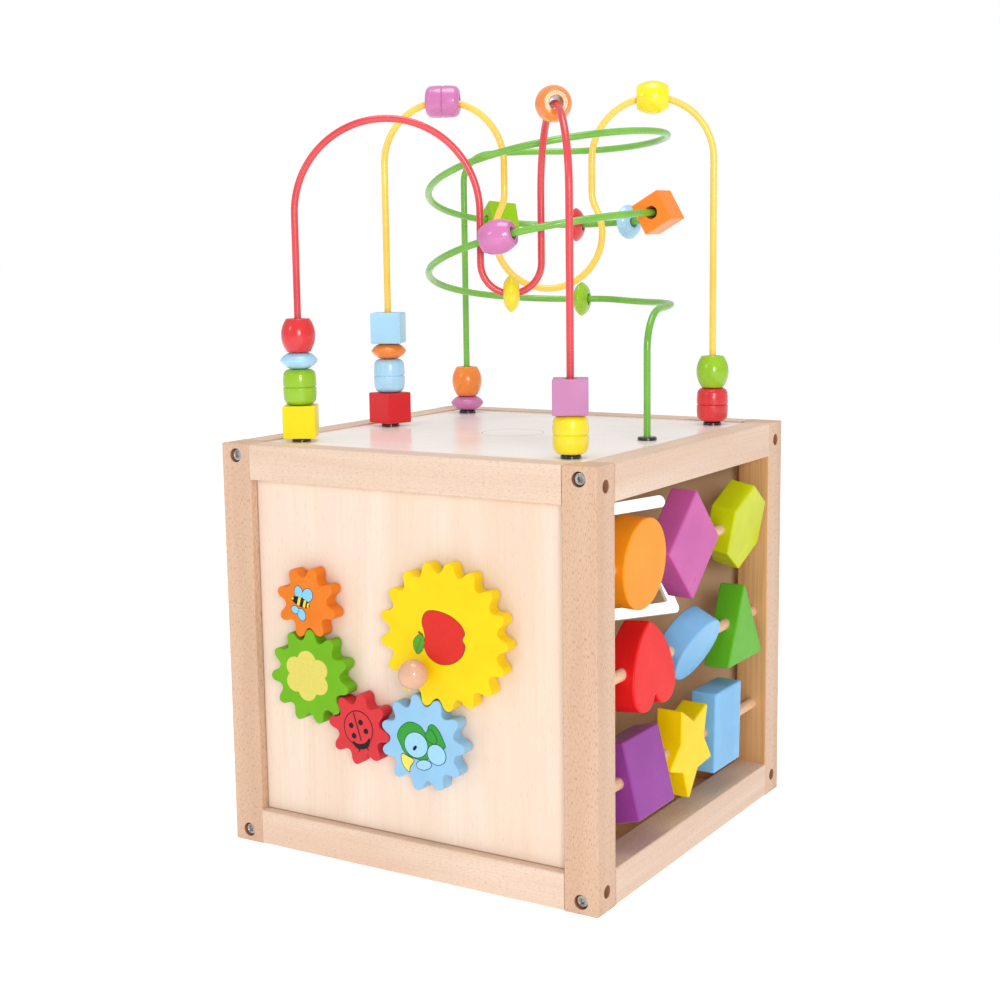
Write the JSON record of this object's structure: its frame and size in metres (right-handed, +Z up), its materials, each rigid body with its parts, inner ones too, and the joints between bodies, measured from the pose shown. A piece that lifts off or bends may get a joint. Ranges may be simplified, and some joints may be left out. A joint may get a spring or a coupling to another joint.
{
  "type": "baby activity cube",
  "caption": "Wooden activity cube with a wire bead maze on top, meshing gears, turning shape blocks on rods, a slot maze with sliders and a learning clock",
  "frame": {"origin": "centre of the square footprint, on the surface the cube stands on", "axes": "+Z up; the gear face looks along -Y, the open side with the turning shapes along +X, the slot maze along +Y and the clock along -X"},
  "size_m": [0.3086, 0.3262, 0.5447],
  "materials": {
    "beech": "clear satin lacquer, fine flecks",
    "birch_ply": "clear lacquered plywood",
    "lacquered_ply": "high-gloss lacquer",
    "steel": "bright zinc",
    "black_rubber": "glossy",
    "paint_orange": "gloss paint on wood",
    "paint_green": "gloss paint on wood",
    "paint_red": "gloss paint on wood",
    "paint_blue": "gloss paint on wood",
    "paint_yellow": "gloss paint on wood",
    "paint_pink": "gloss paint on wood",
    "paint_lime": "gloss paint on wood",
    "paint_purple": "gloss paint on wood",
    "paint_sky": "gloss paint on wood",
    "paint_lilac": "gloss paint on wood",
    "wire_red": "glossy plastic-coated steel wire",
    "wire_yellow": "glossy plastic-coated steel wire",
    "wire_green": "glossy plastic-coated steel wire"
  },
  "bodies": {
    "frame": {"corner_posts": "beech", "bottom_rails": "beech", "top_rails": "beech", "frame_bolts": "steel", "gear_panel": "birch_ply", "maze_panel": "birch_ply", "clock_panel": "birch_ply", "top_panel": "lacquered_ply", "bottom_panel": "birch_ply", "gear_axles": "steel", "shape_rods": "beech", "clock_pin": "beech", "red_wire": "wire_red", "yellow_wire": "wire_yellow", "green_wire": "wire_green", "wire_grommets": "black_rubber"},
    "yellow_gear": {"yellow_gear": "paint_yellow", "crank_knob": "beech"},
    "blue_gear": {"blue_gear": "paint_blue"},
    "red_gear": {"red_gear": "paint_red"},
    "green_gear": {"green_gear": "paint_green"},
    "orange_gear": {"orange_gear": "paint_orange"},
    "orange_circle_block": {"orange_circle_block": "paint_orange"},
    "pink_diamond_block": {"pink_diamond_block": "paint_pink"},
    "lime_hexagon_block": {"lime_hexagon_block": "paint_lime"},
    "red_heart_block": {"red_heart_block": "paint_red"},
    "blue_oval_block": {"blue_oval_block": "paint_blue"},
    "green_triangle_block": {"green_triangle_block": "paint_green"},
    "purple_square_block": {"purple_square_block": "paint_purple"},
    "yellow_star_block": {"yellow_star_block": "paint_yellow"},
    "blue_rectangle_block": {"blue_rectangle_block": "paint_blue"},
    "maze_slider_upper": {"maze_slider_upper": "paint_red"},
    "maze_slider_lower": {"maze_slider_lower": "paint_blue"},
    "clock_hour_hand": {"clock_hour_hand": "paint_red"},
    "clock_minute_hand": {"clock_minute_hand": "paint_green"},
    "bead_yellow_cube": {"bead_yellow_cube": "paint_yellow"},
    "bead_green_grooved": {"bead_green_grooved": "paint_green"},
    "bead_sky_disc": {"bead_sky_disc": "paint_sky"},
    "bead_red_barrel": {"bead_red_barrel": "paint_red"},
    "bead_yellow_grooved": {"bead_yellow_grooved": "paint_yellow"},
    "bead_lilac_cube": {"bead_lilac_cube": "paint_lilac"},
    "bead_red_cube": {"bead_red_cube": "paint_red"},
    "bead_sky_grooved": {"bead_sky_grooved": "paint_sky"},
    "bead_orange_disc": {"bead_orange_disc": "paint_orange"},
    "bead_sky_cube": {"bead_sky_cube": "paint_sky"},
    "bead_red_grooved": {"bead_red_grooved": "paint_red"},
    "bead_green_barrel": {"bead_green_barrel": "paint_green"},
    "bead_purple_disc": {"bead_purple_disc": "paint_purple"},
    "bead_orange_barrel_low": {"bead_orange_barrel_low": "paint_orange"},
    "bead_yellow_disc": {"bead_yellow_disc": "paint_yellow"},
    "bead_orange_barrel_top": {"bead_orange_barrel_top": "paint_orange"},
    "bead_purple_grooved": {"bead_purple_grooved": "paint_purple"},
    "bead_yellow_barrel": {"bead_yellow_barrel": "paint_yellow"},
    "bead_green_cube": {"bead_green_cube": "paint_green"},
    "bead_red_disc": {"bead_red_disc": "paint_red"},
    "bead_sky_coil_disc": {"bead_sky_coil_disc": "paint_sky"},
    "bead_orange_cube": {"bead_orange_cube": "paint_orange"},
    "bead_purple_barrel": {"bead_purple_barrel": "paint_purple"},
    "bead_green_disc": {"bead_green_disc": "paint_green"}
  },
  "joints": [
    {"name": "yellow_gear_spin", "type": "hinge", "parent": "frame", "child": "yellow_gear", "pos_m": [0.0375, -0.155, 0.1725], "axis": [0, 1, 0], "continuous": true},
    {"name": "blue_gear_spin", "type": "hinge", "parent": "frame", "child": "blue_gear", "pos_m": [0.01939, -0.155, 0.09766], "axis": [0, 1, 0], "continuous": true},
    {"name": "red_gear_spin", "type": "hinge", "parent": "frame", "child": "red_gear", "pos_m": [-0.03281, -0.155, 0.09994], "axis": [0, 1, 0], "continuous": true},
    {"name": "green_gear_spin", "type": "hinge", "parent": "frame", "child": "green_gear", "pos_m": [-0.07426, -0.155, 0.13175], "axis": [0, 1, 0], "continuous": true},
    {"name": "orange_gear_spin", "type": "hinge", "parent": "frame", "child": "orange_gear", "pos_m": [-0.07535, -0.155, 0.18398], "axis": [0, 1, 0], "continuous": true},
    {"name": "orange_circle_turn", "type": "hinge", "parent": "frame", "child": "orange_circle_block", "pos_m": [0.1375, -0.077, 0.2185], "axis": [0, 1, 0], "continuous": true},
    {"name": "pink_diamond_turn", "type": "hinge", "parent": "frame", "child": "pink_diamond_block", "pos_m": [0.1375, 0, 0.2185], "axis": [0, 1, 0], "continuous": true},
    {"name": "lime_hexagon_turn", "type": "hinge", "parent": "frame", "child": "lime_hexagon_block", "pos_m": [0.1375, 0.091, 0.2185], "axis": [0, 1, 0], "continuous": true},
    {"name": "red_heart_turn", "type": "hinge", "parent": "frame", "child": "red_heart_block", "pos_m": [0.1375, -0.065, 0.1455], "axis": [0, 1, 0], "continuous": true},
    {"name": "blue_oval_turn", "type": "hinge", "parent": "frame", "child": "blue_oval_block", "pos_m": [0.1375, 0.008, 0.1455], "axis": [0, 1, 0], "continuous": true},
    {"name": "green_triangle_turn", "type": "hinge", "parent": "frame", "child": "green_triangle_block", "pos_m": [0.1375, 0.089, 0.1455], "axis": [0, 1, 0], "continuous": true},
    {"name": "purple_square_turn", "type": "hinge", "parent": "frame", "child": "purple_square_block", "pos_m": [0.1375, -0.071, 0.0725], "axis": [0, 1, 0], "continuous": true},
    {"name": "yellow_star_turn", "type": "hinge", "parent": "frame", "child": "yellow_star_block", "pos_m": [0.1375, -0.003, 0.0725], "axis": [0, 1, 0], "continuous": true},
    {"name": "blue_rectangle_turn", "type": "hinge", "parent": "frame", "child": "blue_rectangle_block", "pos_m": [0.1375, 0.0585, 0.0725], "axis": [0, 1, 0], "continuous": true},
    {"name": "maze_slider_upper_slide", "type": "slide", "parent": "frame", "child": "maze_slider_upper", "axis": [0.9759, 0, 0.2181], "range_m": [-0.0195, 0.1245]},
    {"name": "maze_slider_lower_slide", "type": "slide", "parent": "frame", "child": "maze_slider_lower", "axis": [0.9759, 0, 0.2181], "range_m": [-0.0295, 0.1195]},
    {"name": "clock_hour_hand_turn", "type": "hinge", "parent": "frame", "child": "clock_hour_hand", "pos_m": [-0.143, 0, 0.1455], "axis": [1, 0, 0], "continuous": true},
    {"name": "clock_minute_hand_turn", "type": "hinge", "parent": "frame", "child": "clock_minute_hand", "pos_m": [-0.143, 0, 0.1455], "axis": [1, 0, 0], "continuous": true},
    {"name": "bead_yellow_cube_slide", "type": "slide", "parent": "frame", "child": "bead_yellow_cube", "axis": [0, 0, 1], "range_m": [0, 0.017]},
    {"name": "bead_green_grooved_slide", "type": "slide", "parent": "bead_yellow_cube", "child": "bead_green_grooved", "axis": [0, 0, 1], "range_m": [0, 0.017]},
    {"name": "bead_sky_disc_slide", "type": "slide", "parent": "bead_green_grooved", "child": "bead_sky_disc", "axis": [0, 0, 1], "range_m": [0, 0.017]},
    {"name": "bead_red_barrel_slide", "type": "slide", "parent": "bead_sky_disc", "child": "bead_red_barrel", "axis": [0, 0, 1], "range_m": [0, 0.017]},
    {"name": "bead_yellow_grooved_slide", "type": "slide", "parent": "frame", "child": "bead_yellow_grooved", "axis": [0, 0, 1], "range_m": [0, 0.058]},
    {"name": "bead_lilac_cube_slide", "type": "slide", "parent": "bead_yellow_grooved", "child": "bead_lilac_cube", "axis": [0, 0, 1], "range_m": [0, 0.058]},
    {"name": "bead_red_cube_slide", "type": "slide", "parent": "frame", "child": "bead_red_cube", "axis": [0, 0, 1], "range_m": [0, 0.027]},
    {"name": "bead_sky_grooved_slide", "type": "slide", "parent": "bead_red_cube", "child": "bead_sky_grooved", "axis": [0, 0, 1], "range_m": [0, 0.027]},
    {"name": "bead_orange_disc_slide", "type": "slide", "parent": "bead_sky_grooved", "child": "bead_orange_disc", "axis": [0, 0, 1], "range_m": [0, 0.027]},
    {"name": "bead_sky_cube_slide", "type": "slide", "parent": "bead_orange_disc", "child": "bead_sky_cube", "axis": [0, 0, 1], "range_m": [0, 0.027]},
    {"name": "bead_red_grooved_slide", "type": "slide", "parent": "frame", "child": "bead_red_grooved", "axis": [0, 0, 1], "range_m": [0, 0.07]},
    {"name": "bead_green_barrel_slide", "type": "slide", "parent": "bead_red_grooved", "child": "bead_green_barrel", "axis": [0, 0, 1], "range_m": [0, 0.07]},
    {"name": "bead_purple_disc_slide", "type": "slide", "parent": "frame", "child": "bead_purple_disc", "axis": [0, 0, 1], "range_m": [0, 0.06]},
    {"name": "bead_orange_barrel_low_slide", "type": "slide", "parent": "bead_purple_disc", "child": "bead_orange_barrel_low", "axis": [0, 0, 1], "range_m": [0, 0.06]},
    {"name": "bead_yellow_disc_travel", "type": "hinge", "parent": "frame", "child": "bead_yellow_disc", "pos_m": [0.01878, -0.03077, 0.414], "axis": [-0.524, 0.8517, 0], "range_deg": [-60, 60]},
    {"name": "bead_orange_barrel_top_travel", "type": "hinge", "parent": "frame", "child": "bead_orange_barrel_top", "pos_m": [0.0735, -0.06478, 0.46], "axis": [0.7782, 0.628, 0], "range_deg": [-28, 60]},
    {"name": "bead_purple_grooved_travel", "type": "hinge", "parent": "frame", "child": "bead_purple_grooved", "pos_m": [-0.06966, 0.02017, 0.4875], "axis": [-0.4472, 0.8944, 0], "range_deg": [-60, 60]},
    {"name": "bead_yellow_barrel_travel", "type": "hinge", "parent": "frame", "child": "bead_yellow_barrel", "pos_m": [0.06966, 0.08983, 0.4875], "axis": [-0.4472, 0.8944, 0], "range_deg": [-60, 60]},
    {"name": "bead_green_cube_spin", "type": "hinge", "parent": "frame", "child": "bead_green_cube", "pos_m": [-0.07136, 0.10113, 0.44449], "axis": [0.5912, 0.7999, -0.1037], "continuous": true},
    {"name": "bead_red_disc_spin", "type": "hinge", "parent": "frame", "child": "bead_red_disc", "pos_m": [-0.02003, 0.13488, 0.4415], "axis": [0.9724, 0.2331, 0.0028], "continuous": true},
    {"name": "bead_sky_coil_disc_spin", "type": "hinge", "parent": "frame", "child": "bead_sky_coil_disc", "pos_m": [0.02752, 0.13381, 0.44293], "axis": [0.9605, -0.2737, 0.0502], "continuous": true},
    {"name": "bead_orange_cube_spin", "type": "hinge", "parent": "frame", "child": "bead_orange_cube", "pos_m": [0.09757, 0.04205, 0.44799], "axis": [0.013, -0.9999, -0.0103], "continuous": true},
    {"name": "bead_purple_barrel_spin", "type": "hinge", "parent": "frame", "child": "bead_purple_barrel", "pos_m": [0.02057, -0.05104, 0.43207], "axis": [-0.9635, -0.1466, -0.2242], "continuous": true},
    {"name": "bead_green_disc_spin", "type": "hinge", "parent": "frame", "child": "bead_green_disc", "pos_m": [-0.00539, 0.11683, 0.38351], "axis": [0.9799, 0.1995, 0.0071], "continuous": true}
  ],
  "couplings": [
    {"joint": "blue_gear_spin", "follows": "yellow_gear_spin", "ratio": -1.5455},
    {"joint": "red_gear_spin", "follows": "yellow_gear_spin", "ratio": 2.125},
    {"joint": "green_gear_spin", "follows": "yellow_gear_spin", "ratio": -1.5455},
    {"joint": "orange_gear_spin", "follows": "yellow_gear_spin", "ratio": 2.125}
  ]
}
